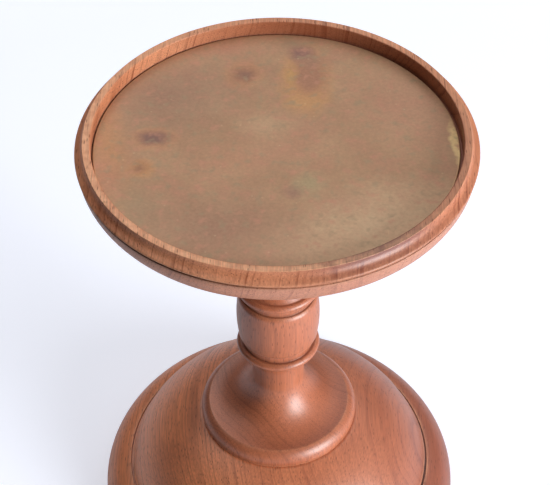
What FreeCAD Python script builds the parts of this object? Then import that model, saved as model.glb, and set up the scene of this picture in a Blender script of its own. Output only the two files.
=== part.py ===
import FreeCAD, Part
import math
import os

# A turned wooden candle stand with a loose brass plate. Sizes are in millimetres.
# The stand's axis is Z, and Z = 0 is the table. Each wooden piece is one turned outline.

# Brass plate, which lies loose in the dish
plate_diameter = 109.0
plate_thickness = 1.2
plate_edge_chamfer = 0.2
plate_clearance = 0.6
plate_near_gap = 0.35
plate_depth_below_rim = 4.6

# Rim of the dish, from the recess wall outwards
rim_width = 2.4
rim_inward_fall = 0.1
rim_inner_round = 0.3
rim_arris_bevel = 0.12
rim_cove_width = 2.5
rim_cove_height = 2.8
rim_cove_hollow = 0.6
rim_bead_height = 1.1
rim_bead_width = 0.5
rim_bead_crest_height = 0.55
rim_bead_swell = 0.09
rim_groove_height = 0.8
rim_groove_depth = 0.8

# Underside of the dish
dish_thickness = 27.9
dish_screw_web = 4.5
dish_ovolo_setback = 0.5
dish_ovolo_width = 10.0
dish_ovolo_height = 9.9
dish_ovolo_swell = 3.1
dish_quirk = 0.8
dish_underside_rise = 11.1
dish_underside_hollow = 1.6

# Stem: each half is a bead, a cove, a neck, a shoulder, a collar and a groove, with the bulb between them
bead_height = 5.9
bead_seat_diameter = 54.0
bead_top_diameter = 48.8
bead_swell = 1.3
cove_height = 13.1
cove_hollow = 3.9
neck_diameter = 17.8
neck_length = 7.0
shoulder_height = 8.2
shoulder_diameter = 23.8
shoulder_hollow = 0.95
collar_diameter = 28.0
collar_thickness = 2.6
collar_swell = 1.25
groove_diameter = 23.6
groove_width = 3.1
bulb_length = 19.3
bulb_end_diameter = 24.8
bulb_end_round = 2.0
bulb_end_swell = 0.3
bulb_shoulder_diameter = 26.6
bulb_swell = 0.55

# Base, from the table upwards
base_diameter = 128.0
base_height = 41.0
base_hollow_diameter = 100.0
base_hollow_depth = 1.5
base_edge_chamfer = 0.5
base_edge_height = 3.0
base_ovolo_width = 9.7
base_ovolo_height = 12.0
base_ovolo_swell = 2.7
base_quirk_width = 0.7
base_quirk_depth = 0.8
base_riser_height = 1.4
base_riser_bevel = 0.5
base_dome_swell = 4.0
base_screw_web = 14.0
base_screw_sink = 9.0

# Seat ring that the base and the dish show round the stem's beads
seat_margin = 0.8

# Joints between stem, base and dish
tenon_diameter = 16.0
tenon_chamfer = 0.8
tenon_clearance = 0.1
tenon_glue_gap = 0.5

# Wood screws
screw_shank_diameter = 4.2
screw_core_diameter = 3.0
screw_head_diameter = 8.4
screw_head_rim = 0.4
screw_slot_width = 1.1
screw_slot_depth = 1.2
screw_thread_pitch = 1.8
screw_tip_length = 4.0
screw_grip = 22.0
screw_clearance = 0.05
screw_head_sink = 0.2

# Radii and heights that follow from the sizes above
plate_radius = plate_diameter / 2
recess_radius = plate_radius + plate_clearance
recess_depth = plate_depth_below_rim + plate_thickness
rim_radius = recess_radius + rim_width
dish_radius = rim_radius + rim_cove_width
bead_seat_radius = bead_seat_diameter / 2
tenon_radius = tenon_diameter / 2
mortise_radius = tenon_radius + tenon_clearance
shank_radius = screw_shank_diameter / 2
shank_hole_radius = shank_radius + screw_clearance
head_radius = screw_head_diameter / 2
head_hole_radius = head_radius + screw_clearance
head_height = screw_head_rim + head_radius - shank_radius
seat_radius = bead_seat_radius + seat_margin

# Swell of a quarter round with a radius of 1
quarter_round = 1 - math.sqrt(0.5)

half_stem = bead_height + cove_height + neck_length + shoulder_height + collar_thickness + groove_width
stem_bottom = base_height
stem_top = stem_bottom + 2 * half_stem + bulb_length
stem_middle = (stem_bottom + stem_top) / 2
dish_bottom = stem_top
dish_top = dish_bottom + dish_thickness
recess_floor = dish_top - recess_depth

# Mortises, with the wood left between each one and its screw's seat
base_screw_seat = base_hollow_depth + base_screw_sink
base_mortise_floor = base_screw_seat + base_screw_web
dish_screw_seat = recess_floor - screw_head_sink
dish_mortise_roof = recess_floor - dish_screw_web
tenon_bottom = base_mortise_floor + tenon_glue_gap
tenon_top = dish_mortise_roof - tenon_glue_gap
base_screw_tip = tenon_bottom + screw_grip
dish_screw_tip = tenon_top - screw_grip


def outline_edge(start, end):
    """Joins two outline points by a line, or by an arc that swells to the right of the way it is drawn."""
    first = FreeCAD.Vector(start[0], 0, start[1])
    last = FreeCAD.Vector(end[0], 0, end[1])
    swell = end[2]
    if swell == 0:
        return Part.makeLine(first, last)
    along = last - first
    right_hand = FreeCAD.Vector(along.z, 0, -along.x).normalize()
    middle = (first + last) * 0.5 + right_hand * swell
    return Part.Arc(first, middle, last).toShape()


def turned(outline):
    """Turns a closed outline of (radius, height, swell of the stretch that leads there) about Z."""
    starts = outline[-1:] + outline[:-1]
    edges = [outline_edge(start, end) for start, end in zip(starts, outline)]
    section = Part.Face(Part.Wire(edges))
    return section.revolve(FreeCAD.Vector(0, 0, 0), FreeCAD.Vector(0, 0, 1), 360)


def mirrored(points, middle_height, joining_swell):
    """The same stretch of outline mirrored above a height, drawn on upwards from a joining arc."""
    swells = [joining_swell] + [point[2] for point in reversed(points[1:])]
    return [(point[0], 2 * middle_height - point[1], swell) for point, swell in zip(reversed(points), swells)]


def make_base():
    """The foot: an ovolo edge, a quirk and a dome, bored for the stem's tenon and its screw."""
    edge_radius = base_diameter / 2
    hollow_radius = base_hollow_diameter / 2
    ovolo_inner = edge_radius - base_ovolo_width
    ovolo_top = base_edge_height + base_ovolo_height
    riser_radius = ovolo_inner - base_quirk_width
    riser_top = ovolo_top + base_riser_height
    return turned([
        (head_hole_radius, base_hollow_depth, 0),
        (hollow_radius, base_hollow_depth, 0),
        (hollow_radius + base_hollow_depth, 0, 0),
        (edge_radius - base_edge_chamfer, 0, 0),
        (edge_radius, base_edge_chamfer, 0),
        (edge_radius, base_edge_height, 0),
        (ovolo_inner, ovolo_top, base_ovolo_swell),
        (ovolo_inner, ovolo_top - base_quirk_depth, 0),
        (riser_radius, ovolo_top - base_quirk_depth, 0),
        (riser_radius, riser_top - base_riser_bevel, 0),
        (riser_radius - base_riser_bevel, riser_top, 0),
        (seat_radius, base_height, base_dome_swell),
        (mortise_radius, base_height, 0),
        (mortise_radius, base_mortise_floor, 0),
        (shank_hole_radius, base_mortise_floor, 0),
        (shank_hole_radius, base_screw_seat + head_height, 0),
        (head_hole_radius, base_screw_seat + screw_head_rim, 0),
    ])


def make_stem():
    """The spindle: two mirrored halves with a barrel-shaped bulb between, and a tenon at each end."""
    cove_foot = stem_bottom + bead_height
    neck_foot = cove_foot + cove_height
    shoulder_foot = neck_foot + neck_length
    collar_foot = shoulder_foot + shoulder_height
    groove_foot = collar_foot + collar_thickness
    bulb_foot = groove_foot + groove_width
    collar_root = collar_diameter / 2 - collar_swell
    lower_half = [
        (bead_seat_radius, stem_bottom, 0),
        (bead_top_diameter / 2, cove_foot, bead_swell),
        (neck_diameter / 2, neck_foot, -cove_hollow),
        (neck_diameter / 2, shoulder_foot, 0),
        (shoulder_diameter / 2, collar_foot, -shoulder_hollow),
        (collar_root, collar_foot, 0),
        (collar_root, groove_foot, collar_swell),
        (groove_diameter / 2, groove_foot, 0),
        (groove_diameter / 2, bulb_foot, 0),
        (bulb_end_diameter / 2, bulb_foot, 0),
        (bulb_shoulder_diameter / 2, bulb_foot + bulb_end_round, bulb_end_swell),
    ]
    upper_half = mirrored(lower_half, stem_middle, bulb_swell)
    lower_tenon = [
        (0, base_screw_tip, 0),
        (shank_hole_radius, base_screw_tip, 0),
        (shank_hole_radius, tenon_bottom, 0),
        (tenon_radius - tenon_chamfer, tenon_bottom, 0),
        (tenon_radius, tenon_bottom + tenon_chamfer, 0),
        (tenon_radius, stem_bottom, 0),
    ]
    upper_tenon = [
        (tenon_radius, stem_top, 0),
        (tenon_radius, tenon_top - tenon_chamfer, 0),
        (tenon_radius - tenon_chamfer, tenon_top, 0),
        (shank_hole_radius, tenon_top, 0),
        (shank_hole_radius, dish_screw_tip, 0),
        (0, dish_screw_tip, 0),
    ]
    return turned(lower_tenon + lower_half + upper_half + upper_tenon)


def make_dish():
    """The top: a moulded rim round the plate's recess, and an ovolo and a hollow slope beneath."""
    bead_root = dish_radius - rim_bead_width
    cove_foot = dish_top - rim_cove_height
    bead_foot = cove_foot - rim_bead_height
    bead_crest = bead_foot + rim_bead_crest_height
    groove_foot = bead_foot - rim_groove_height
    ovolo_foot = groove_foot - dish_ovolo_height
    ovolo_outer = dish_radius - dish_ovolo_setback
    ovolo_inner = ovolo_outer - dish_ovolo_width
    quirk_radius = ovolo_inner - dish_quirk
    rim_inner_edge = dish_top - rim_inward_fall
    return turned([
        (mortise_radius, dish_bottom, 0),
        (seat_radius, dish_bottom, 0),
        (quirk_radius, dish_bottom + dish_underside_rise, -dish_underside_hollow),
        (quirk_radius, ovolo_foot, 0),
        (ovolo_inner, ovolo_foot, 0),
        (ovolo_outer, groove_foot, dish_ovolo_swell),
        (dish_radius - rim_groove_depth, groove_foot, 0),
        (dish_radius - rim_groove_depth, bead_foot, 0),
        (bead_root, bead_foot, 0),
        (dish_radius, bead_crest, rim_bead_swell),
        (bead_root, cove_foot, rim_bead_swell),
        (rim_radius, dish_top - rim_arris_bevel, -rim_cove_hollow),
        (rim_radius - rim_arris_bevel, dish_top, 0),
        (recess_radius + rim_inner_round, rim_inner_edge, 0),
        (recess_radius, rim_inner_edge - rim_inner_round, rim_inner_round * quarter_round),
        (recess_radius, recess_floor, 0),
        (head_hole_radius, recess_floor, 0),
        (head_hole_radius, dish_screw_seat - screw_head_rim, 0),
        (shank_hole_radius, dish_screw_seat - head_height, 0),
        (shank_hole_radius, dish_mortise_roof, 0),
        (mortise_radius, dish_mortise_roof, 0),
    ])


def make_plate():
    """The brass disc, lying on the recess floor a little to the left of the axis."""
    shift = plate_clearance - plate_near_gap
    top = recess_floor + plate_thickness
    plate = turned([
        (0, recess_floor, 0),
        (plate_radius, recess_floor, 0),
        (plate_radius, top - plate_edge_chamfer, 0),
        (plate_radius - plate_edge_chamfer, top, 0),
        (0, top, 0),
    ])
    plate.translate(FreeCAD.Vector(-shift, 0, 0))
    return plate


def make_screw(length):
    """A slotted countersunk wood screw, head at Z = 0 and tip up, with its thread shown as rings."""
    core_radius = screw_core_diameter / 2
    thread_foot = length - screw_grip
    thread_top = length - screw_tip_length
    rings = int((thread_top - thread_foot) / screw_thread_pitch)
    outline = [
        (0, 0, 0),
        (head_radius, 0, 0),
        (head_radius, screw_head_rim, 0),
        (shank_radius, head_height, 0),
        (shank_radius, thread_foot, 0),
    ]
    for ring in range(rings):
        foot = thread_foot + ring * screw_thread_pitch
        outline.append((core_radius, foot + screw_thread_pitch / 2, 0))
        outline.append((shank_radius, foot + screw_thread_pitch, 0))
    outline.append((core_radius, thread_top, 0))
    outline.append((0, length - screw_clearance, 0))
    slot = Part.makeBox(screw_head_diameter, screw_slot_width, screw_slot_depth)
    slot.translate(FreeCAD.Vector(-head_radius, -screw_slot_width / 2, 0))
    return turned(outline).cut(slot)


def make_base_screw():
    """The screw that holds the base to the stem, driven up from the counterbore under the base."""
    screw = make_screw(base_screw_tip - base_screw_seat)
    screw.translate(FreeCAD.Vector(0, 0, base_screw_seat))
    return screw


def make_dish_screw():
    """The screw that holds the dish to the stem, driven down through the recess floor under the plate."""
    screw = make_screw(dish_screw_seat - dish_screw_tip)
    screw.rotate(FreeCAD.Vector(0, 0, 0), FreeCAD.Vector(1, 0, 0), 180)
    screw.translate(FreeCAD.Vector(0, 0, dish_screw_seat))
    return screw


pieces = {
    "base": make_base(),
    "stem": make_stem(),
    "dish": make_dish(),
    "brass_plate": make_plate(),
    "base_screw": make_base_screw(),
    "dish_screw": make_dish_screw(),
}

os.makedirs("parts", exist_ok=True)
for name, piece in pieces.items():
    piece.exportStep("parts/" + name + ".step")
    print(name, "valid", piece.isValid(), "solids", len(piece.Solids), "volume", round(piece.Volume, 1))
print("height", round(dish_top, 2), "dish diameter", round(2 * dish_radius, 2))
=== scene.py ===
import math

import bmesh
import bpy
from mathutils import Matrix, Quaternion, Vector


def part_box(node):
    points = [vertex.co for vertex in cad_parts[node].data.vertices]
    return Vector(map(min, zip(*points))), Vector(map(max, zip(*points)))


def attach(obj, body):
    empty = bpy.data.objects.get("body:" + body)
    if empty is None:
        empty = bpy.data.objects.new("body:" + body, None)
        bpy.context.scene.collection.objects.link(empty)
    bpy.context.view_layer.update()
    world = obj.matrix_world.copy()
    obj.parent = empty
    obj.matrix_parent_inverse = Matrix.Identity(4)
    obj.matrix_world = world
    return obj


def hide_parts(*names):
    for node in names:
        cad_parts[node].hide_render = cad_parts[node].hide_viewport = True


# A turned wooden candle stand with a loose, tarnished brass plate.
# Outlines and patterns are in millimetres, and the objects themselves in metres.

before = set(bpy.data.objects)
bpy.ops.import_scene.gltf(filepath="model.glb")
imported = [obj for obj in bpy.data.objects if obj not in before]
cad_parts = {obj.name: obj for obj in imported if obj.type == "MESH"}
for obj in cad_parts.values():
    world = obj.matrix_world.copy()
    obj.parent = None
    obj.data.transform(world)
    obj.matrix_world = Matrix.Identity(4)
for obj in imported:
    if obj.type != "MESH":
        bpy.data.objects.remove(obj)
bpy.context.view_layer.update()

MM = 0.001
TO_MM = (1 / MM, 1 / MM, 1 / MM)
SEGMENTS = 256
ON_AXIS = 1e-6
OUTLINE_STEP = 0.7
CORNER_EASE = 0.16
EASE_SHARE = 0.35
LONGEST_CUT = 0.9
CORNER_STEPS = 4
SHARP_TURN = math.radians(15)
EDGE_REACH = 0.9
FULL_TURN = math.radians(80)
GRAIN_UPRIGHT = (0, 0, 0)
GRAIN_FRONT_TO_BACK = (math.radians(90), 0, 0)


def box_in_mm(node):
    """Lowest and highest corner of a piece, in millimetres."""
    low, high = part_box(node)
    return low / MM, high / MM


base_high = box_in_mm("base")[1]
stem_low, stem_high = box_in_mm("stem")
dish_low, dish_high = box_in_mm("dish")
plate_low, plate_high = box_in_mm("brass_plate")
base_screw_low, base_screw_high = box_in_mm("base_screw")
dish_screw_low, dish_screw_high = box_in_mm("dish_screw")

# Places that the pieces share
base_radius = base_high.x
base_top = base_high.z
dish_radius = dish_high.x
dish_bottom = dish_low.z
dish_top = dish_high.z
recess_floor = plate_low.z
plate_top = plate_high.z
plate_radius = (plate_high.y - plate_low.y) / 2
plate_middle = (plate_low.x + plate_high.x) / 2
seat_radius = 27.8
mortise_radius = 8.1
tenon_radius = 8.0
tenon_chamfer = 0.8
tenon_gap = 0.5
shank_radius = 2.1
shank_hole_radius = 2.15
head_radius = 4.2
head_hole_radius = 4.25
head_rim = 0.4
head_height = head_rim + head_radius - shank_radius


def stretch(start, end):
    """Points from start to end: a line, or an arc that swells to the right of the way it is drawn."""
    first = Vector(start[:2])
    chord = Vector(end[:2]) - first
    swell = end[2]
    right = Vector((chord.y, -chord.x)).normalized()
    steps = max(2, math.ceil(chord.length / OUTLINE_STEP))
    if swell == 0:
        return [first + chord * step / steps for step in range(steps + 1)]
    radius = chord.length ** 2 / (8 * abs(swell)) + abs(swell) / 2
    half_angle = math.asin(min(1, chord.length / 2 / radius))
    side = math.copysign(1, swell)
    points = []
    for step in range(steps + 1):
        angle = (2 * step / steps - 1) * half_angle
        along = 0.5 + math.sin(angle) * radius / chord.length
        out = side * (radius * math.cos(angle) - radius + abs(swell))
        points.append(first + chord * along + right * out)
    return points


def run_length(points):
    """The length of a line through points."""
    return sum((b - a).length for a, b in zip(points, points[1:]))


def cut_back(points, length):
    """The same points without the last length of their run."""
    kept = list(points)
    while len(kept) > 2 and (kept[-1] - kept[-2]).length <= length:
        length -= (kept[-1] - kept[-2]).length
        kept.pop()
    step = kept[-1] - kept[-2]
    kept[-1] = kept[-1] - step.normalized() * min(length, step.length * LONGEST_CUT)
    return kept


def turn_between(arriving, leaving):
    """Signed angle at a corner: positive where the outline turns round solid, negative in a nook."""
    way_in = arriving[-1] - arriving[-2]
    way_out = leaving[1] - leaving[0]
    return math.atan2(way_in.cross(way_out), way_in.dot(way_out))


def bend_points(before, corner, after):
    """Points on a small round between two stretches, in place of their corner."""
    points = []
    for step in range(1, CORNER_STEPS):
        share = step / CORNER_STEPS
        points.append(before.lerp(corner, share).lerp(corner.lerp(after, share), share))
    return points


def eased_outline(outline, closed):
    """Points along an outline with its sharp corners eased, and the corners with their angles."""
    starts = outline[-1:] + outline[:-1] if closed else outline[:-1]
    ends = outline if closed else outline[1:]
    stretches = [stretch(start, end) for start, end in zip(starts, ends)]
    bends = {}
    corners = []
    for index in range(len(stretches) if closed else len(stretches) - 1):
        following = (index + 1) % len(stretches)
        angle = turn_between(stretches[index], stretches[following])
        if abs(angle) < SHARP_TURN:
            continue
        corner = stretches[index][-1]
        shortest = min(run_length(stretches[index]), run_length(stretches[following]))
        ease = min(CORNER_EASE, shortest * EASE_SHARE)
        stretches[index] = cut_back(stretches[index], ease)
        stretches[following] = cut_back(stretches[following][::-1], ease)[::-1]
        bends[index] = (corner, following)
        corners.append((corner, angle))
    points = []
    for index, points_along in enumerate(stretches):
        if index in bends:
            corner, following = bends[index]
            points += points_along + bend_points(points_along[-1], corner, stretches[following][0])
        else:
            points += points_along[:-1]
    if not closed:
        points.append(stretches[-1][-1])
    return points, corners


def edge_and_nook(point, corners):
    """How close a point is to an outer edge and to a nook, each from 0 to 1."""
    edge = 0
    nook = 0
    for corner, angle in corners:
        near = max(0, 1 - (point - corner).length / EDGE_REACH) * min(1, abs(angle) / FULL_TURN)
        if angle > 0:
            edge = max(edge, near)
        else:
            nook = max(nook, near)
    return edge, nook


def ring_of(mesh, point):
    """A ring of vertices about the axis, or one vertex on it."""
    count = 1 if point.x < ON_AXIS else SEGMENTS
    ring = []
    for segment in range(count):
        angle = 2 * math.pi * segment / SEGMENTS
        place = Vector((point.x * math.cos(angle), point.x * math.sin(angle), point.y))
        ring.append(mesh.verts.new(place * MM))
    return ring


def join_rings(mesh, rings, closed):
    """Faces between each ring and the next, with triangles where one of them is a point."""
    followers = rings[1:] + rings[:1] if closed else rings[1:]
    for ring, follower in zip(rings, followers):
        for segment in range(SEGMENTS):
            beside = (segment + 1) % SEGMENTS
            corners = [
                ring[segment % len(ring)],
                ring[beside % len(ring)],
                follower[beside % len(follower)],
                follower[segment % len(follower)],
            ]
            mesh.faces.new(list(dict.fromkeys(corners)))


def finished_piece(name, mesh):
    """Links a finished mesh as an object with smooth shading."""
    bmesh.ops.recalc_face_normals(mesh, faces=mesh.faces)
    for face in mesh.faces:
        face.smooth = True
    data = bpy.data.meshes.new(name)
    mesh.to_mesh(data)
    mesh.free()
    piece = bpy.data.objects.new(name, data)
    bpy.context.scene.collection.objects.link(piece)
    return piece


def turned_piece(name, outline, closed):
    """A piece turned about Z from an outline of (radius, height, swell of the stretch that leads there)."""
    points, corners = eased_outline(outline, closed)
    mesh = bmesh.new()
    edge_layer = mesh.verts.layers.float.new("edge")
    nook_layer = mesh.verts.layers.float.new("nook")
    rings = []
    for point in points:
        ring = ring_of(mesh, point)
        edge, nook = edge_and_nook(point, corners)
        for vertex in ring:
            vertex[edge_layer] = edge
            vertex[nook_layer] = nook
        rings.append(ring)
    join_rings(mesh, rings, closed)
    piece = finished_piece(name, mesh)
    piece.modifiers.new("even_normals", "WEIGHTED_NORMAL")
    return piece


def mirrored(points, middle, joining_swell):
    """The same stretch of outline mirrored above a height, drawn on upwards from a joining arc."""
    swells = [joining_swell] + [point[2] for point in reversed(points[1:])]
    return [(point[0], 2 * middle - point[1], swell) for point, swell in zip(reversed(points), swells)]


def build_base():
    """The foot: an ovolo edge, a quirk and a dome, hollow beneath."""
    hollow_depth = 1.5
    hollow_radius = 50.0
    edge_chamfer = 0.5
    edge_height = 3.0
    ovolo_inner = base_radius - 9.7
    ovolo_top = edge_height + 12.0
    ovolo_swell = 2.7
    quirk_depth = 0.8
    riser_radius = ovolo_inner - 0.7
    riser_top = ovolo_top + 1.4
    riser_bevel = 0.5
    dome_swell = 4.0
    screw_seat = base_screw_low.z
    mortise_floor = stem_low.z - tenon_gap
    return turned_piece("base_turning", [
        (head_hole_radius, hollow_depth, 0),
        (hollow_radius, hollow_depth, 0),
        (hollow_radius + hollow_depth, 0, 0),
        (base_radius - edge_chamfer, 0, 0),
        (base_radius, edge_chamfer, 0),
        (base_radius, edge_height, 0),
        (ovolo_inner, ovolo_top, ovolo_swell),
        (ovolo_inner, ovolo_top - quirk_depth, 0),
        (riser_radius, ovolo_top - quirk_depth, 0),
        (riser_radius, riser_top - riser_bevel, 0),
        (riser_radius - riser_bevel, riser_top, 0),
        (seat_radius, base_top, dome_swell),
        (mortise_radius, base_top, 0),
        (mortise_radius, mortise_floor, 0),
        (shank_hole_radius, mortise_floor, 0),
        (shank_hole_radius, screw_seat + head_height, 0),
        (head_hole_radius, screw_seat + head_rim, 0),
    ], closed=True)


def build_stem():
    """The spindle: two mirrored halves with a barrel-shaped bulb between, and a tenon at each end."""
    bead_seat_radius = 27.0
    bead_top_radius = 24.4
    bead_height = 5.9
    bead_swell = 1.3
    cove_height = 13.1
    cove_hollow = 3.9
    neck_radius = 8.9
    neck_length = 7.0
    shoulder_height = 8.2
    shoulder_radius = 11.9
    shoulder_hollow = 0.95
    collar_root = 12.75
    collar_thickness = 2.6
    collar_swell = 1.25
    groove_radius = 11.8
    groove_width = 3.1
    bulb_end_radius = 12.4
    bulb_end_round = 2.0
    bulb_end_swell = 0.3
    bulb_shoulder_radius = 13.3
    bulb_swell = 0.55
    cove_foot = base_top + bead_height
    neck_foot = cove_foot + cove_height
    shoulder_foot = neck_foot + neck_length
    collar_foot = shoulder_foot + shoulder_height
    groove_foot = collar_foot + collar_thickness
    bulb_foot = groove_foot + groove_width
    lower_half = [
        (bead_seat_radius, base_top, 0),
        (bead_top_radius, cove_foot, bead_swell),
        (neck_radius, neck_foot, -cove_hollow),
        (neck_radius, shoulder_foot, 0),
        (shoulder_radius, collar_foot, -shoulder_hollow),
        (collar_root, collar_foot, 0),
        (collar_root, groove_foot, collar_swell),
        (groove_radius, groove_foot, 0),
        (groove_radius, bulb_foot, 0),
        (bulb_end_radius, bulb_foot, 0),
        (bulb_shoulder_radius, bulb_foot + bulb_end_round, bulb_end_swell),
    ]
    upper_half = mirrored(lower_half, (base_top + dish_bottom) / 2, bulb_swell)
    lower_tenon = [
        (0, base_screw_high.z, 0),
        (shank_hole_radius, base_screw_high.z, 0),
        (shank_hole_radius, stem_low.z, 0),
        (tenon_radius - tenon_chamfer, stem_low.z, 0),
        (tenon_radius, stem_low.z + tenon_chamfer, 0),
        (tenon_radius, base_top, 0),
    ]
    upper_tenon = [
        (tenon_radius, dish_bottom, 0),
        (tenon_radius, stem_high.z - tenon_chamfer, 0),
        (tenon_radius - tenon_chamfer, stem_high.z, 0),
        (shank_hole_radius, stem_high.z, 0),
        (shank_hole_radius, dish_screw_low.z, 0),
        (0, dish_screw_low.z, 0),
    ]
    return turned_piece("stem_turning", lower_tenon + lower_half + upper_half + upper_tenon, closed=False)


def build_dish():
    """The top: a moulded rim round the plate's recess, and an ovolo and a hollow slope beneath."""
    recess_radius = plate_radius + 0.6
    rim_radius = dish_radius - 2.5
    rim_inner_edge = dish_top - 0.1
    rim_inner_round = 0.3
    rim_arris_bevel = 0.12
    cove_foot = dish_top - 2.8
    cove_hollow = 0.6
    bead_foot = cove_foot - 1.1
    bead_crest = bead_foot + 0.55
    bead_swell = 0.09
    bead_root = dish_radius - 0.5
    groove_foot = bead_foot - 0.8
    groove_radius = dish_radius - 0.8
    ovolo_foot = groove_foot - 9.9
    ovolo_outer = dish_radius - 0.5
    ovolo_inner = ovolo_outer - 10.0
    ovolo_swell = 3.1
    quirk_radius = ovolo_inner - 0.8
    underside_rise = 11.1
    underside_hollow = 1.6
    quarter_round = 1 - math.sqrt(0.5)
    screw_seat = dish_screw_high.z
    mortise_roof = stem_high.z + tenon_gap
    return turned_piece("dish_turning", [
        (mortise_radius, dish_bottom, 0),
        (seat_radius, dish_bottom, 0),
        (quirk_radius, dish_bottom + underside_rise, -underside_hollow),
        (quirk_radius, ovolo_foot, 0),
        (ovolo_inner, ovolo_foot, 0),
        (ovolo_outer, groove_foot, ovolo_swell),
        (groove_radius, groove_foot, 0),
        (groove_radius, bead_foot, 0),
        (bead_root, bead_foot, 0),
        (dish_radius, bead_crest, bead_swell),
        (bead_root, cove_foot, bead_swell),
        (rim_radius, dish_top - rim_arris_bevel, -cove_hollow),
        (rim_radius - rim_arris_bevel, dish_top, 0),
        (recess_radius + rim_inner_round, rim_inner_edge, 0),
        (recess_radius, rim_inner_edge - rim_inner_round, rim_inner_round * quarter_round),
        (recess_radius, recess_floor, 0),
        (head_hole_radius, recess_floor, 0),
        (head_hole_radius, screw_seat - head_rim, 0),
        (shank_hole_radius, screw_seat - head_height, 0),
        (shank_hole_radius, mortise_roof, 0),
        (mortise_radius, mortise_roof, 0),
    ], closed=True)


def build_plate():
    """The loose brass disc, with a broken edge."""
    chamfer = 0.2
    plate = turned_piece("brass_disc", [
        (0, recess_floor, 0),
        (plate_radius, recess_floor, 0),
        (plate_radius, plate_top - chamfer, 0),
        (plate_radius - chamfer, plate_top, 0),
        (0, plate_top, 0),
    ], closed=False)
    plate.location.x = plate_middle * MM
    return plate


def screw_radius(height, angle, length):
    """Radius of a wood screw at a height above its head: rim, countersink, shank, thread and point."""
    pitch = 1.8
    core_radius = 1.5
    thread_length = 22.0
    tip_length = 4.0
    ridge_steepness = 3.2
    if height <= head_rim:
        return head_radius
    if height <= head_height:
        return head_radius - (height - head_rim)
    from_tip = length - height
    if from_tip > thread_length:
        return shank_radius
    turn = (height / pitch + angle / (2 * math.pi)) % 1
    ridge = max(0, 1 - abs(turn - 0.5) * ridge_steepness)
    taper = min(1, from_tip / tip_length)
    return (core_radius + (shank_radius - core_radius) * ridge) * taper


def build_screw(name, head, tip):
    """A slotted countersunk wood screw along Z, from its head's height to its tip's."""
    sides = 48
    row_height = 0.15
    slot_width = 1.1
    slot_depth = 1.2
    slot_length = 3 * head_radius
    sharp_angle = math.radians(35)
    length = abs(tip - head)
    way = math.copysign(1, tip - head)
    rows = math.ceil(length / row_height)
    mesh = bmesh.new()
    head_middle = mesh.verts.new(Vector((0, 0, head)) * MM)
    point = mesh.verts.new(Vector((0, 0, tip)) * MM)
    rings = []
    for row in range(rows):
        height = length * row / rows
        ring = []
        for side in range(sides):
            angle = 2 * math.pi * side / sides
            radius = screw_radius(height, angle, length)
            place = Vector((radius * math.cos(angle), radius * math.sin(angle), head + way * height))
            ring.append(mesh.verts.new(place * MM))
        rings.append(ring)
    for side in range(sides):
        beside = (side + 1) % sides
        mesh.faces.new((head_middle, rings[0][side], rings[0][beside]))
        mesh.faces.new((point, rings[-1][beside], rings[-1][side]))
        for ring, follower in zip(rings, rings[1:]):
            mesh.faces.new((ring[side], ring[beside], follower[beside], follower[side]))
    screw = finished_piece(name, mesh)
    cutter_mesh = bmesh.new()
    bmesh.ops.create_cube(cutter_mesh, size=1)
    for vertex in cutter_mesh.verts:
        vertex.co.x *= slot_length * MM
        vertex.co.y *= slot_width * MM
        vertex.co.z = (head + 2 * slot_depth * vertex.co.z) * MM
    cutter = finished_piece("slot_cutter", cutter_mesh)
    slot = screw.modifiers.new("slot", "BOOLEAN")
    slot.operation = "DIFFERENCE"
    slot.solver = "EXACT"
    slot.object = cutter
    evaluated = screw.evaluated_get(bpy.context.evaluated_depsgraph_get())
    slotted = bpy.data.meshes.new_from_object(evaluated)
    screw.modifiers.clear()
    screw.data = slotted
    slotted.set_sharp_from_angle(angle=sharp_angle)
    bpy.data.objects.remove(cutter)
    return screw


def colour(red, green, blue):
    """A colour from its three screen values, 0 to 255."""
    channels = []
    for value in (red, green, blue):
        share = value / 255
        channels.append(share / 12.92 if share <= 0.04045 else ((share + 0.055) / 1.055) ** 2.4)
    return (*channels, 1)


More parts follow.
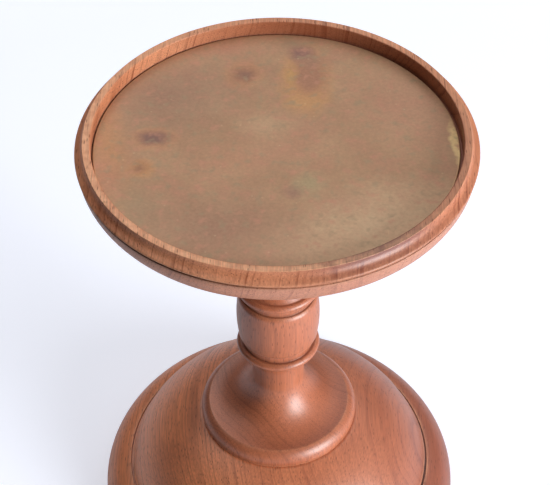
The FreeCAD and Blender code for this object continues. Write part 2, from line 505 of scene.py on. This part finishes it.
class Shader:
    """A material's nodes, with short ways to add and join them."""

    def __init__(self, name):
        self.material = bpy.data.materials.new(name)
        self.material.use_nodes = True
        self.tree = self.material.node_tree
        self.surface = self.tree.nodes["Principled BSDF"]

    def feed(self, socket, value):
        """Joins a socket to another, or sets its value."""
        if isinstance(value, bpy.types.NodeSocket):
            self.tree.links.new(value, socket)
        else:
            socket.default_value = value

    def set(self, name, value):
        """Joins or sets an input of the surface."""
        self.feed(self.surface.inputs[name], value)

    def add(self, kind, inputs=None, **settings):
        """Adds a node, with its settings and its inputs by name or number."""
        node = self.tree.nodes.new("ShaderNode" + kind)
        for key, value in settings.items():
            setattr(node, key, value)
        for key, value in (inputs or {}).items():
            self.feed(node.inputs[key], value)
        return node

    def math(self, operation, first, second=0.0):
        return self.add("Math", {0: first, 1: second}, operation=operation).outputs[0]

    def vector(self, operation, first, second=(0, 0, 0)):
        node = self.add("VectorMath", {0: first, 1: second}, operation=operation)
        return node.outputs["Value" if operation in ("LENGTH", "DOT_PRODUCT") else "Vector"]

    def noise(self, place, size, detail=2.0, output="Fac"):
        node = self.add("TexNoise", {"Vector": place, "Scale": 1 / size, "Detail": detail})
        return node.outputs[output]

    def remap(self, value, low, high, to_low=0.0, to_high=1.0):
        inputs = {"Value": value, "From Min": low, "From Max": high, "To Min": to_low, "To Max": to_high}
        return self.add("MapRange", inputs).outputs["Result"]

    def mix(self, share, first, second, blend="MIX"):
        node = self.add("Mix", {0: share, 6: first, 7: second}, data_type="RGBA", blend_type=blend)
        return node.outputs[2]

    def object_place(self):
        """The place on a piece, in millimetres."""
        inputs = {"Vector": self.add("TexCoord").outputs["Object"], "Scale": TO_MM}
        return self.add("Mapping", inputs).outputs[0]

    def spot(self, place, middle, radii, turn, softness):
        """1 inside an ellipsoid that is turned about Z by some degrees, fading to 0 around its edge."""
        inputs = {"Vector": place, "Location": middle, "Rotation": (0, 0, math.radians(turn)), "Scale": radii}
        local = self.add("Mapping", inputs, vector_type="TEXTURE").outputs[0]
        distance = self.vector("LENGTH", local)
        return self.remap(distance, 1 + softness, 1 - softness)


def wood_material(name, grain_turn, heart, shift, line_strength, pale, darker_side, gloss, grime_and_shade, painted_light_above=None,
                  reflection_below=None, shaded_within=None, streaks=()):
    """Waxed reddish-brown wood, with its growth rings round a heart and its grain along one axis.

    The wood turns darker along a direction, between two places on it and by a share of the way.
    It may be painted paler above a height, most at the front left, as painted light on the top face; tinted
    pale below another height, as a painted reflection of the table; and painted darker within a radius, most
    at the back right, as painted shade on the recess wall. Dark streaks have a middle, half sizes, a turn
    in degrees, a share and a shine.
    """
    ring_width = 1.9
    wander_size = 30
    wander_width = 8
    ring_stretch = (1, 1, 0.05)
    fibre_stretch = (1, 1, 0.025)
    pore_stretch = (1, 1, 0.18)
    line_break_size = 5
    cloud_size = 26
    figure_size = 18
    patch_size = 3
    fibre_size = 0.42
    pore_size = 0.62
    lathe_mark_size = 0.45
    relief_depth = 0.00005
    wax_roughness = 0.42
    streak_softness = 0.5
    back_right_way = (0.8, 0.6, 0)
    front_left_way = (-0.8, -0.6, 0)
    late_wood = colour(126, 64, 38)
    clouded_wood = colour(184, 102, 63)
    darker_side_wood = colour(130, 66, 50)
    figured_wood = colour(150, 78, 50)
    # Painted reflection of the table on the underside
    reflected_table_tint = colour(198, 152, 136)
    # Painted shade on the recess wall
    shaded_wall_wood = colour(136, 64, 36)
    streak_wood = colour(98, 50, 48)
    # Worn edges, and painted light on the top face
    worn_and_lit_wood = colour(244, 182, 140)
    pore_wood = colour(92, 46, 29)
    end_wood = colour(140, 76, 50)
    # Grime and painted shade in nooks
    grime_and_shade_wood = colour(60, 29, 20)

    # Places along the grain, and on the piece
    shader = Shader(name)
    coordinates = shader.add("TexCoord").outputs
    inputs = {"Vector": coordinates["Object"], "Rotation": grain_turn, "Location": shift, "Scale": TO_MM}
    place = shader.add("Mapping", inputs).outputs[0]
    long_place = shader.vector("MULTIPLY", place, ring_stretch)
    fibre_place = shader.vector("MULTIPLY", place, fibre_stretch)
    pore_place = shader.vector("MULTIPLY", place, pore_stretch)
    seen_above = shader.vector("MULTIPLY", coordinates["Object"], (1 / MM, 1 / MM, 0))
    radius = shader.vector("LENGTH", seen_above)
    height = shader.vector("DOT_PRODUCT", coordinates["Object"], (0, 0, 1 / MM))

    # Growth rings of uneven width and strength
    wander = shader.vector("SUBTRACT", shader.noise(long_place, wander_size, 2, "Color"), (0.5, 0.5, 0.5))
    wander = shader.vector("MULTIPLY", wander, (wander_width, wander_width, 0))
    across = shader.vector("SUBTRACT", shader.vector("ADD", place, wander), heart)
    across = shader.vector("MULTIPLY", across, (1, 1, 0))
    age = shader.math("DIVIDE", shader.vector("LENGTH", across), ring_width)
    uneven = shader.add("TexNoise", {"W": age, "Scale": 0.35, "Detail": 2.0}, noise_dimensions="1D")
    age = shader.math("ADD", age, shader.math("MULTIPLY", uneven.outputs["Fac"], 3.0))
    ring = shader.math("FRACT", age)
    year = shader.add("TexWhiteNoise", {"W": shader.math("FLOOR", age)}, noise_dimensions="1D")
    late = shader.math("MULTIPLY", shader.remap(ring, 0.6, 0.95), shader.remap(ring, 1.0, 0.95))
    late = shader.math("MULTIPLY", late, shader.remap(year.outputs["Value"], 0, 1, 0.2, line_strength))
    broken = shader.noise(long_place, line_break_size, 2)
    late = shader.math("MULTIPLY", late, shader.remap(broken, 0.35, 0.6, 0.4, 1))
    tone = shader.mix(late, colour(*pale), late_wood)

    # Broad changes of tone
    cloud = shader.noise(long_place, cloud_size, 2)
    tone = shader.mix(shader.remap(cloud, 0.35, 0.7, 0, 0.4), tone, clouded_wood)
    # Darker along one direction across the piece
    side_way, side_start, side_end, side_share = darker_side
    along = shader.vector("DOT_PRODUCT", seen_above, side_way)
    tone = shader.mix(shader.remap(along, side_start, side_end, 0, side_share), tone, darker_side_wood)
    figure = shader.noise(place, figure_size, 2)
    tone = shader.mix(shader.remap(figure, 0.45, 0.7, 0, 0.3), tone, figured_wood)
    # Painted reflection: a pale pinkish-grey tint on the underside below a height, standing in for the
    # table's reflection
    if reflection_below is not None:
        painted_reflection = shader.remap(height, reflection_below + 0.2, reflection_below - 0.2, 0, 0.4)
        tone = shader.mix(painted_reflection, tone, reflected_table_tint)
    # Painted shade: darker wood in the recess, most at the back right, where its wall faces away from the
    # lamps
    if shaded_within is not None:
        back_right = shader.vector("DOT_PRODUCT", seen_above, back_right_way)
        inside = shader.remap(radius, shaded_within + 0.1, shaded_within - 0.1)
        painted_wall_shade = shader.math("MULTIPLY", inside, shader.remap(back_right, 0, 40, 0, 0.62))
        tone = shader.mix(painted_wall_shade, tone, shaded_wall_wood)
    polish = gloss
    # Dark streaks, with more coat where they shine
    for middle, half_sizes, turn, share, shine in streaks:
        in_streak = shader.spot(shader.object_place(), middle, half_sizes, turn, streak_softness)
        tone = shader.mix(shader.math("MULTIPLY", in_streak, share), tone, streak_wood)
        polish = shader.math("MAXIMUM", polish, shader.math("MULTIPLY", in_streak, shine))

    # Wear along edges and painted light on the top face, and grime with painted shade in nooks
    edge = shader.add("Attribute", attribute_name="edge").outputs["Fac"]
    nook = shader.add("Attribute", attribute_name="nook").outputs["Fac"]
    patchy = shader.remap(shader.noise(place, patch_size, 3), 0.35, 0.65, 0.4, 1)
    worn = shader.remap(edge, 0, 1, 0, 0.5)
    # Grime in the nooks, with painted shade
    grime_and_shade_mask = shader.remap(nook, 0, 1, 0, grime_and_shade)
    # Painted light: above a height the top face turns paler, and it and the worn edges are paler most at the
    # front left
    if painted_light_above is not None:
        front_left = shader.vector("DOT_PRODUCT", seen_above, front_left_way)
        front_left_light = shader.remap(front_left, -30, 45, 0.25, 0.95)
        painted_top_light = shader.remap(height, painted_light_above, painted_light_above + 0.15)
        worn = shader.math("MULTIPLY", shader.math("MAXIMUM", worn, painted_top_light), front_left_light)
        # Painted shade: the nooks are darkest at the front left
        grime_and_shade_mask = shader.math("MULTIPLY", grime_and_shade_mask, shader.remap(front_left, 32, 55, 0.35, 1))
    tone = shader.mix(shader.math("MULTIPLY", worn, patchy), tone, worn_and_lit_wood)

    # Fibres, open pores and darker end grain
    fibre = shader.noise(fibre_place, fibre_size, 3)
    tone = shader.mix(1.0, tone, shader.remap(fibre, 0.3, 0.7, 0.78, 1.14), "MULTIPLY")
    cells = shader.add("TexVoronoi", {"Vector": pore_place, "Scale": 1 / pore_size}, feature="F1").outputs
    chosen = shader.vector("DOT_PRODUCT", cells["Color"], (1, 0, 0))
    crowded = shader.math("ADD", chosen, shader.remap(ring, 0.2, 0.95, 0, 0.3))
    hollow = shader.remap(cells["Distance"], 0.32, 0.16)
    pore = shader.math("MULTIPLY", hollow, shader.remap(crowded, 0.5, 0.75))
    tone = shader.mix(shader.math("MULTIPLY", pore, 0.6), tone, pore_wood)
    facing = shader.add("Mapping", {"Vector": coordinates["Normal"], "Rotation": grain_turn}).outputs[0]
    end_grain = shader.math("ABSOLUTE", shader.vector("DOT_PRODUCT", facing, (0, 0, 1)))
    tone = shader.mix(shader.remap(end_grain, 0.5, 1, 0, 0.2), tone, end_wood)
    # Grime and painted shade in the nooks
    tone = shader.mix(grime_and_shade_mask, tone, grime_and_shade_wood)
    shader.set("Base Color", tone)

    # Satin wax over fine turning marks
    rough = shader.math("ADD", shader.remap(fibre, 0.3, 0.7, 0.38, 0.48), shader.math("MULTIPLY", pore, 0.2))
    lathe = shader.add("CombineXYZ", {0: radius, 1: height}).outputs[0]
    marks = shader.noise(lathe, lathe_mark_size, 1)
    relief = shader.math("MULTIPLY", shader.math("ADD", fibre, marks), 0.3)
    relief = shader.math("SUBTRACT", relief, pore)
    bump = shader.add("Bump", {"Height": relief, "Strength": 0.5, "Distance": relief_depth})
    shader.set("Roughness", rough)
    shader.set("Normal", bump.outputs[0])
    shader.set("Coat Weight", polish)
    shader.set("Coat Roughness", wax_roughness)
    shader.set("Specular IOR Level", 0.25 + gloss / 2)
    return shader.material


def brass_material():
    """Tarnished sheet brass with stains, a worn edge, fine scratches and specks."""
    drift_size = 5
    drift_width = 4
    cloud_size = 20
    patch_size = 9
    blotch_size = 3.4
    speckle_size = 0.9
    speck_spacing = 3.2
    scuff_size = 2.2
    scratch_width = 0.3
    scratch_turn = math.radians(-38)
    scratch_stretch = (1, 0.05, 1)
    patch_shift = (310, 140, 0)
    relief_depth = 0.00008
    dark_tarnish = colour(163, 126, 97)
    pale_tarnish = colour(174, 137, 106)
    red_patch = colour(174, 128, 103)
    red_blotch = colour(182, 130, 106)
    olive_blotch = colour(152, 130, 102)
    pale_speck = colour(214, 186, 150)
    pale_scuff = colour(206, 178, 142)
    bare_scratch = colour(206, 172, 134)
    bare_edge = colour(208, 176, 126)

    # Clouds of tarnish, and a ragged place for the stains' outlines
    shader = Shader("tarnished_brass")
    place = shader.object_place()
    drift = shader.vector("SUBTRACT", shader.noise(place, drift_size, 3, "Color"), (0.5, 0.5, 0.5))
    drift = shader.vector("MULTIPLY", drift, (drift_width, drift_width, 0))
    ragged = shader.vector("MULTIPLY", shader.vector("ADD", place, drift), (1, 1, 0))
    cloud = shader.noise(place, cloud_size, 4)
    patch = shader.noise(shader.vector("ADD", place, patch_shift), patch_size, 4)
    tone = shader.mix(shader.remap(cloud, 0.35, 0.65), dark_tarnish, pale_tarnish)
    tone = shader.mix(shader.remap(patch, 0.48, 0.7, 0, 0.6), tone, red_patch)

    # Stains: middle, half sizes, turn in degrees, softness, strength and colour
    stains = [
        ((-34, 24), (17, 13), 20, 0.9, 0.7, (148, 114, 94)),
        ((-49, -4), (4, 22), 8, 0.7, 0.6, (182, 132, 92)),
        ((-49, -15), (3.5, 8), 15, 0.8, 0.5, (172, 120, 100)),
        ((-41, -28), (6, 9), 30, 0.8, 0.6, (152, 130, 102)),
        ((-16, -37), (17, 10), -10, 0.9, 0.75, (150, 113, 92)),
        ((4, -46), (16, 8), 0, 0.9, 0.5, (186, 144, 114)),
        ((28, -36), (18, 11), 25, 0.9, 0.75, (196, 164, 132)),
        ((41, 18), (11, 13), 20, 0.9, 0.5, (180, 132, 108)),
        ((-13, -6), (7, 6), 0, 0.9, 0.5, (176, 128, 100)),
        ((3, -2), (10, 5), 30, 0.9, 0.5, (178, 130, 104)),
        ((-3, 9), (6, 4), 0, 0.9, 0.6, (186, 152, 120)),
        ((-13, 48), (7, 3), 15, 0.8, 0.5, (178, 126, 102)),
        ((9, -18), (3.6, 4.4), -35, 0.7, 0.8, (162, 142, 108)),
        ((4.6, -21), (2.4, 2.0), 0, 0.8, 0.7, (146, 108, 92)),
        ((-10, 33.4), (5.0, 5.6), 0, 0.5, 0.75, (182, 127, 90)),
        ((-10, 33.4), (3.2, 3.4), 0, 0.65, 0.9, (136, 100, 84)),
        ((-0.6, 35), (3.0, 2.6), 0, 0.8, 0.5, (156, 124, 96)),
        ((9.5, 31), (7.4, 15), 0, 0.35, 0.8, (190, 138, 92)),
        ((10.5, 33.5), (5.4, 10.5), 0, 0.5, 0.8, (154, 110, 90)),
        ((5.0, 33), (1.6, 5.0), 0, 0.7, 0.6, (186, 146, 92)),
        ((9.0, 20.5), (4.8, 3.0), 0, 0.7, 0.55, (190, 144, 98)),
        ((8, 44.5), (3.6, 3.4), 0, 0.6, 0.85, (132, 96, 88)),
        ((12, 40), (4.5, 2.6), 0, 0.8, 0.6, (156, 120, 98)),
        ((6.3, 49.5), (4.0, 1.8), 0, 0.8, 0.55, (146, 120, 96)),
        ((-36.8, 3), (6.0, 4.8), 0, 0.4, 0.7, (186, 132, 96)),
        ((-36.8, 3.2), (4.2, 2.9), 0, 0.5, 0.85, (120, 90, 84)),
        ((-39.5, -10.5), (3.6, 3.6), 0, 0.35, 0.8, (192, 140, 94)),
        ((-39.9, -10.3), (2.5, 2.3), 0, 0.7, 0.85, (148, 106, 82)),
        ((53.2, 0), (1.3, 9), 3, 0.35, 0.9, (214, 184, 132)),
    ]
    for middle, half_sizes, turn, softness, share, shade in stains:
        spot = shader.spot(ragged, (*middle, 0), (*half_sizes, 1), turn, softness)
        tone = shader.mix(shader.math("MULTIPLY", spot, share), tone, colour(*shade))

    # Mottling, pale specks, scuffs, fine scratches and a rubbed edge
    speckle = shader.noise(place, speckle_size, 3)
    blotch = shader.noise(place, blotch_size, 4)
    tone = shader.mix(shader.remap(blotch, 0.55, 0.7, 0, 0.6), tone, red_blotch)
    tone = shader.mix(shader.remap(blotch, 0.45, 0.3, 0, 0.6), tone, olive_blotch)
    tone = shader.mix(1.0, tone, shader.remap(speckle, 0.2, 0.8, 1.04, 1.28), "MULTIPLY")
    grains = shader.add("TexVoronoi", {"Vector": place, "Scale": 1 / speck_spacing}, feature="F1").outputs
    few = shader.remap(shader.vector("DOT_PRODUCT", grains["Color"], (0, 1, 0)), 0.55, 0.8)
    speck = shader.math("MULTIPLY", shader.remap(grains["Distance"], 0.13, 0.06), few)
    tone = shader.mix(shader.math("MULTIPLY", speck, 0.3), tone, pale_speck)
    scuffed = shader.spot(ragged, (27, -32, 0), (19, 12, 1), 25, 0.8)
    scuff = shader.math("MULTIPLY", scuffed, shader.remap(shader.noise(place, scuff_size, 5), 0.5, 0.75))
    tone = shader.mix(shader.math("MULTIPLY", scuff, 0.45), tone, pale_scuff)
    inputs = {"Vector": place, "Rotation": (0, 0, scratch_turn), "Scale": scratch_stretch}
    scratches = shader.noise(shader.add("Mapping", inputs).outputs[0], scratch_width, 1)
    scratch = shader.math("MULTIPLY", shader.remap(scratches, 0.7, 0.76), shader.remap(patch, 0.5, 0.6))
    tone = shader.mix(shader.math("MULTIPLY", scratch, 0.2), tone, bare_scratch)
    edge = shader.add("Attribute", attribute_name="edge").outputs["Fac"]
    tone = shader.mix(shader.remap(edge, 0.2, 1, 0, 0.5), tone, bare_edge)
    shader.set("Base Color", tone)

    # Dull tarnish, with bare metal at the edge and in the scratches
    dull = shader.remap(patch, 0.3, 0.7, 0.44, 0.52)
    rough = shader.math("SUBTRACT", dull, shader.math("MULTIPLY", scratch, 0.1))
    relief = shader.math("ADD", shader.math("MULTIPLY", cloud, 4), shader.math("MULTIPLY", speckle, 0.1))
    bump = shader.add("Bump", {"Height": relief, "Strength": 0.4, "Distance": relief_depth})
    bare = shader.math("MAXIMUM", shader.remap(edge, 0.2, 1), scratch)
    shader.set("Roughness", rough)
    shader.set("Normal", bump.outputs[0])
    shader.set("Metallic", shader.remap(bare, 0, 1, 0.25, 0.95))
    shader.set("Specular IOR Level", 0.3)
    return shader.material


def steel_material():
    """Zinc-dulled steel of the wood screws."""
    cloud_size = 1.8
    dark_zinc = colour(150, 148, 142)
    pale_zinc = colour(186, 184, 178)
    shader = Shader("dull_steel")
    cloud = shader.noise(shader.object_place(), cloud_size, 4)
    shader.set("Base Color", shader.mix(shader.remap(cloud, 0.35, 0.65), dark_zinc, pale_zinc))
    shader.set("Roughness", shader.remap(cloud, 0.3, 0.7, 0.5, 0.34))
    shader.set("Metallic", 1.0)
    return shader.material


def dress(piece, node, body, material):
    """Gives a piece its material, and lets it stand for a plain solid and move with a body."""
    piece.data.materials.clear()
    piece.data.materials.append(material)
    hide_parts(node)
    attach(piece, body)


def build_floor():
    """A pale table top under the stand, much larger than the view, that stays pale where the lights end."""
    shown_near = 0.46
    shown_far = 1.3
    reflected_share = 0.3
    near = 0.3
    far = 2.0
    table_radius = 6
    table_colour = (0.74, 0.76, 0.84, 1)
    shown_colour = (0.85, 0.88, 0.97, 1)
    mesh = bmesh.new()
    bmesh.ops.create_circle(mesh, cap_ends=True, radius=table_radius, segments=64)
    floor = finished_piece("table_top", mesh)
    shader = Shader("pale_table")
    shader.set("Base Color", table_colour)
    shader.set("Roughness", 0.9)
    shader.set("Specular IOR Level", 0.1)
    shader.set("Emission Color", shown_colour)
    path = shader.add("LightPath").outputs
    reflected = shader.math("MULTIPLY", path["Is Glossy Ray"], reflected_share)
    seen = shader.math("MAXIMUM", path["Is Camera Ray"], reflected)
    distance = shader.vector("LENGTH", shader.add("TexCoord").outputs["Object"])
    white = shader.remap(distance, near, far, shown_near, shown_far)
    shader.set("Emission Strength", shader.math("MULTIPLY", seen, white))
    floor.data.materials.append(shader.material)


def build_room():
    """The pale room round the stand: white to the eye, but dim in reflections and as light."""
    given_light = 0.03
    reflected_white = 0.07
    shown_white = 1.1
    room_colour = (0.94, 0.97, 1.0, 1)
    world = bpy.data.worlds.new("pale_room")
    bpy.context.scene.world = world
    world.use_nodes = True
    tree = world.node_tree
    room = tree.nodes["Background"]
    room.inputs["Color"].default_value = room_colour
    path = tree.nodes.new("ShaderNodeLightPath")
    strength = given_light
    for ray, white in (("Is Glossy Ray", reflected_white), ("Is Camera Ray", shown_white)):
        step = tree.nodes.new("ShaderNodeMapRange")
        step.inputs["To Max"].default_value = white
        tree.links.new(path.outputs[ray], step.inputs["Value"])
        if isinstance(strength, float):
            step.inputs["To Min"].default_value = strength
        else:
            tree.links.new(strength, step.inputs["To Min"])
        strength = step.outputs["Result"]
    tree.links.new(strength, room.inputs["Strength"])


def build_light(name, azimuth, elevation, width, height, energy, tint):
    """A wide soft light that faces the stand, at degrees from the right towards the back and upwards."""
    distance = 1.2
    aim = Vector((0, 0, 0.1))
    turn = math.radians(azimuth)
    rise = math.radians(elevation)
    level = math.cos(rise)
    away = Vector((math.cos(turn) * level, math.sin(turn) * level, math.sin(rise)))
    data = bpy.data.lights.new(name, "AREA")
    data.shape = "RECTANGLE"
    data.size = width
    data.size_y = height
    data.energy = energy
    data.color = tint
    light = bpy.data.objects.new(name, data)
    light.location = aim + away * distance
    light.rotation_mode = "QUATERNION"
    light.rotation_quaternion = (-away).to_track_quat("-Z", "Y")
    bpy.context.scene.collection.objects.link(light)


def build_camera():
    """The camera, from in front and above, as the stand was seen."""
    distance = 0.45957
    elevation = math.radians(44.48)
    roll = math.radians(-0.42)
    focal_pixels = 1450
    picture_width = 550
    aim = Vector((-0.00084, 0, 0.12247))
    back = Vector((0, -math.cos(elevation), math.sin(elevation)))
    data = bpy.data.cameras.new("camera")
    data.sensor_width = 36
    data.lens = focal_pixels * data.sensor_width / picture_width
    data.clip_start = 0.01
    camera = bpy.data.objects.new("camera", data)
    camera.location = aim + back * distance
    camera.rotation_mode = "QUATERNION"
    camera.rotation_quaternion = (-back).to_track_quat("-Z", "Y") @ Quaternion((0, 0, 1), roll)
    bpy.context.scene.collection.objects.link(camera)
    bpy.context.scene.camera = camera


# The dish's wood carries painted light on its top face, painted shade in its recess and nooks, and a painted
# reflection on its ovolo
dish_wood = wood_material(
    "dish_wood", GRAIN_FRONT_TO_BACK, heart=(-240, -225, 0), shift=(0, 0, 0), line_strength=1.25,
    pale=(218, 148, 110), darker_side=((0.75, -0.66, 0), 25, 60, 0.55), gloss=0.1, grime_and_shade=0.95,
    painted_light_above=dish_top - 0.2, reflection_below=dish_top - 4.6, shaded_within=plate_radius + 0.9,
    streaks=[
        ((27.5, -49.2, dish_top), (14, 3.2, 1.2), 30, 0.85, 0.1),
        ((24, -52, dish_top), (24, 6, 1.2), 25, 0.5, 0.1),
        ((28, -51.5, dish_top - 1.6), (22, 6, 1.8), 29, 0.35, 0.5),
    ])
base_wood = wood_material(
    "base_wood", GRAIN_FRONT_TO_BACK, heart=(160, 90, 0), shift=(300, 40, 0), line_strength=0.8,
    pale=(238, 148, 100), darker_side=((1, 0, 0), -44, 64, 0.9), gloss=0.55, grime_and_shade=0.35)
stem_wood = wood_material(
    "stem_wood", GRAIN_UPRIGHT, heart=(34, 26, 0), shift=(0, 0, 500), line_strength=0.8,
    pale=(184, 106, 70), darker_side=((1, 0, 0), -27, 27, 0.2), gloss=0.6, grime_and_shade=0.5)
brass = brass_material()
steel = steel_material()

dress(build_base(), "base", "stand", base_wood)
dress(build_stem(), "stem", "stand", stem_wood)
dress(build_dish(), "dish", "stand", dish_wood)
dress(build_plate(), "brass_plate", "plate", brass)
base_screw = build_screw("base_wood_screw", base_screw_low.z, base_screw_high.z)
dress(base_screw, "base_screw", "stand", steel)
dish_screw = build_screw("dish_wood_screw", dish_screw_high.z, dish_screw_low.z)
dress(dish_screw, "dish_screw", "stand", steel)

build_floor()
build_room()
build_light("window", azimuth=-38, elevation=11, width=0.6, height=0.8, energy=26, tint=(0.94, 0.98, 1))
build_light("sky", azimuth=140, elevation=72, width=1.0, height=1.0, energy=4.8, tint=(1, 0.98, 0.95))
build_light("far_wall", azimuth=78, elevation=48, width=1.4, height=0.8, energy=4.0, tint=(0.98, 0.98, 1))
build_light("side_wall", azimuth=15, elevation=35, width=0.9, height=0.9, energy=1.2, tint=(0.94, 0.97, 1))
build_camera()
bpy.context.scene.view_settings.view_transform = "Standard"
